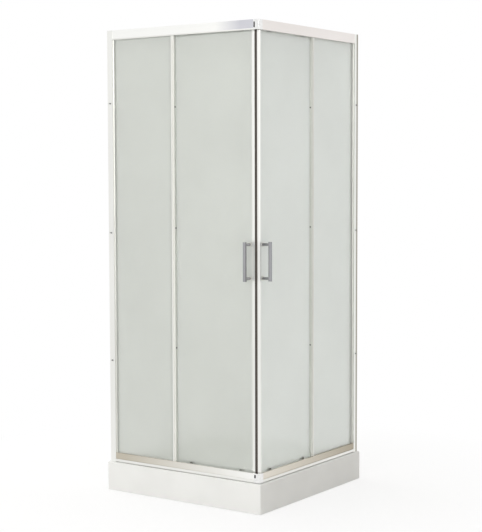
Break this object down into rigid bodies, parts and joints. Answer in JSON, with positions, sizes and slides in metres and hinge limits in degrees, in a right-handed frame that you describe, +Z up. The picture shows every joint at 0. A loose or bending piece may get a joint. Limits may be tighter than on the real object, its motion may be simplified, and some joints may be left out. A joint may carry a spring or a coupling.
{
  "type": "corner shower enclosure",
  "caption": "Square corner-entry shower enclosure on a raised white tray: framed frosted screens, fixed panes by the walls and sliding doors that meet at the front corner.",
  "frame": {"origin": "on the floor under the middle of the square tray, at the sole of the middle foot", "axes": "+Z up; the entry corner points to +X and -Y; the walls stand at -X and at +Y"},
  "size_m": [0.8135, 0.8135, 1.975],
  "materials": {
    "acrylic": "gloss white, cast acrylic",
    "board": "raw particle board",
    "zinc_steel": "zinc plated",
    "black_plastic": "matte black",
    "drain_chrome": "polished",
    "grey_rubber": "satin grey",
    "drain_plastic": "moulded white",
    "bright_aluminium": "bright polished",
    "chromed_plastic": "bright chromed",
    "frosted_glass": "fine frosted, pale grey-green",
    "magnet_rubber": "satin dark brown-grey",
    "handle_metal": "satin grey",
    "screw_steel": "plain stainless",
    "cap_chrome": "polished",
    "bracket_plastic": "moulded pale grey",
    "nylon": "moulded white nylon",
    "stop_rubber": "matte dark grey"
  },
  "bodies": {
    "frame_and_tray": {"tray_shell": "acrylic", "tray_base_board": "board", "tray_support_bars": "zinc_steel", "tray_foot_rods": "zinc_steel", "tray_foot_pads": "black_plastic", "tray_foot_locknuts": "zinc_steel", "drain_flange": "drain_chrome", "drain_gasket": "grey_rubber", "drain_body": "drain_plastic", "wall_profile_left": "bright_aluminium", "wall_profile_right": "bright_aluminium", "jamb_profile_left": "bright_aluminium", "jamb_profile_right": "bright_aluminium", "fixed_glass_left": "frosted_glass", "fixed_glass_right": "frosted_glass", "glazing_gasket_left": "grey_rubber", "glazing_gasket_right": "grey_rubber", "fixed_stile_left": "bright_aluminium", "fixed_stile_right": "bright_aluminium", "top_rail_left": "bright_aluminium", "top_rail_right": "bright_aluminium", "bottom_rail_left": "bright_aluminium", "bottom_rail_right": "bright_aluminium", "top_corner_connector": "chromed_plastic", "bottom_corner_connector": "chromed_plastic", "frame_screws_left": "screw_steel", "frame_screws_right": "screw_steel", "door_stops_left": "stop_rubber", "door_stops_right": "stop_rubber"},
    "door_left": {"door_glass_left": "frosted_glass", "leading_stile_left": "bright_aluminium", "magnetic_seal_left": "magnet_rubber", "trailing_seal_left": "grey_rubber", "handle_left": "handle_metal", "door_screws_left": "cap_chrome", "top_roller_brackets_left": "bracket_plastic", "bottom_roller_brackets_left": "bracket_plastic", "roller_axles_left": "zinc_steel"},
    "door_right": {"door_glass_right": "frosted_glass", "leading_stile_right": "bright_aluminium", "magnetic_seal_right": "magnet_rubber", "trailing_seal_right": "grey_rubber", "handle_right": "handle_metal", "door_screws_right": "cap_chrome", "top_roller_brackets_right": "bracket_plastic", "bottom_roller_brackets_right": "bracket_plastic", "roller_axles_right": "zinc_steel"},
    "top_wheel_front_left": {"top_wheel_front_left": "nylon"},
    "top_wheel_rear_left": {"top_wheel_rear_left": "nylon"},
    "bottom_wheel_front_left": {"bottom_wheel_front_left": "nylon"},
    "bottom_wheel_rear_left": {"bottom_wheel_rear_left": "nylon"},
    "top_wheel_front_right": {"top_wheel_front_right": "nylon"},
    "top_wheel_rear_right": {"top_wheel_rear_right": "nylon"},
    "bottom_wheel_front_right": {"bottom_wheel_front_right": "nylon"},
    "bottom_wheel_rear_right": {"bottom_wheel_rear_right": "nylon"},
    "drain_cover": {"drain_cover": "drain_chrome"}
  },
  "joints": [
    {"name": "door_slide_left", "type": "slide", "parent": "frame_and_tray", "child": "door_left", "axis": [-1, 0, 0], "range_m": [0, 0.285]},
    {"name": "door_slide_right", "type": "slide", "parent": "frame_and_tray", "child": "door_right", "axis": [0, 1, 0], "range_m": [0, 0.285]},
    {"name": "top_wheel_front_left_spin", "type": "hinge", "parent": "door_left", "child": "top_wheel_front_left", "pos_m": [0.283, -0.349, 1.9548], "axis": [0, -1, 0], "range_deg": [-10, 1500]},
    {"name": "top_wheel_rear_left_spin", "type": "hinge", "parent": "door_left", "child": "top_wheel_rear_left", "pos_m": [0.033, -0.349, 1.9548], "axis": [0, -1, 0], "range_deg": [-10, 1500]},
    {"name": "bottom_wheel_front_left_spin", "type": "hinge", "parent": "door_left", "child": "bottom_wheel_front_left", "pos_m": [0.283, -0.349, 0.1383], "axis": [0, -1, 0], "range_deg": [-10, 2060]},
    {"name": "bottom_wheel_rear_left_spin", "type": "hinge", "parent": "door_left", "child": "bottom_wheel_rear_left", "pos_m": [0.033, -0.349, 0.1383], "axis": [0, -1, 0], "range_deg": [-10, 2060]},
    {"name": "top_wheel_front_right_spin", "type": "hinge", "parent": "door_right", "child": "top_wheel_front_right", "pos_m": [0.349, -0.283, 1.9548], "axis": [-1, 0, 0], "range_deg": [-10, 1500]},
    {"name": "top_wheel_rear_right_spin", "type": "hinge", "parent": "door_right", "child": "top_wheel_rear_right", "pos_m": [0.349, -0.033, 1.9548], "axis": [-1, 0, 0], "range_deg": [-10, 1500]},
    {"name": "bottom_wheel_front_right_spin", "type": "hinge", "parent": "door_right", "child": "bottom_wheel_front_right", "pos_m": [0.349, -0.283, 0.1383], "axis": [-1, 0, 0], "range_deg": [-10, 2060]},
    {"name": "bottom_wheel_rear_right_spin", "type": "hinge", "parent": "door_right", "child": "bottom_wheel_rear_right", "pos_m": [0.349, -0.033, 0.1383], "axis": [-1, 0, 0], "range_deg": [-10, 2060]},
    {"name": "drain_cover_lift", "type": "slide", "parent": "frame_and_tray", "child": "drain_cover", "axis": [0, 0, 1], "range_m": [0, 0.06]}
  ],
  "couplings": [
    {"joint": "top_wheel_front_left_spin", "follows": "door_slide_left", "rad_per_m": 90.909},
    {"joint": "top_wheel_rear_left_spin", "follows": "door_slide_left", "rad_per_m": 90.909},
    {"joint": "bottom_wheel_front_left_spin", "follows": "door_slide_left", "rad_per_m": 125},
    {"joint": "bottom_wheel_rear_left_spin", "follows": "door_slide_left", "rad_per_m": 125},
    {"joint": "top_wheel_front_right_spin", "follows": "door_slide_right", "rad_per_m": 90.909},
    {"joint": "top_wheel_rear_right_spin", "follows": "door_slide_right", "rad_per_m": 90.909},
    {"joint": "bottom_wheel_front_right_spin", "follows": "door_slide_right", "rad_per_m": 125},
    {"joint": "bottom_wheel_rear_right_spin", "follows": "door_slide_right", "rad_per_m": 125}
  ]
}
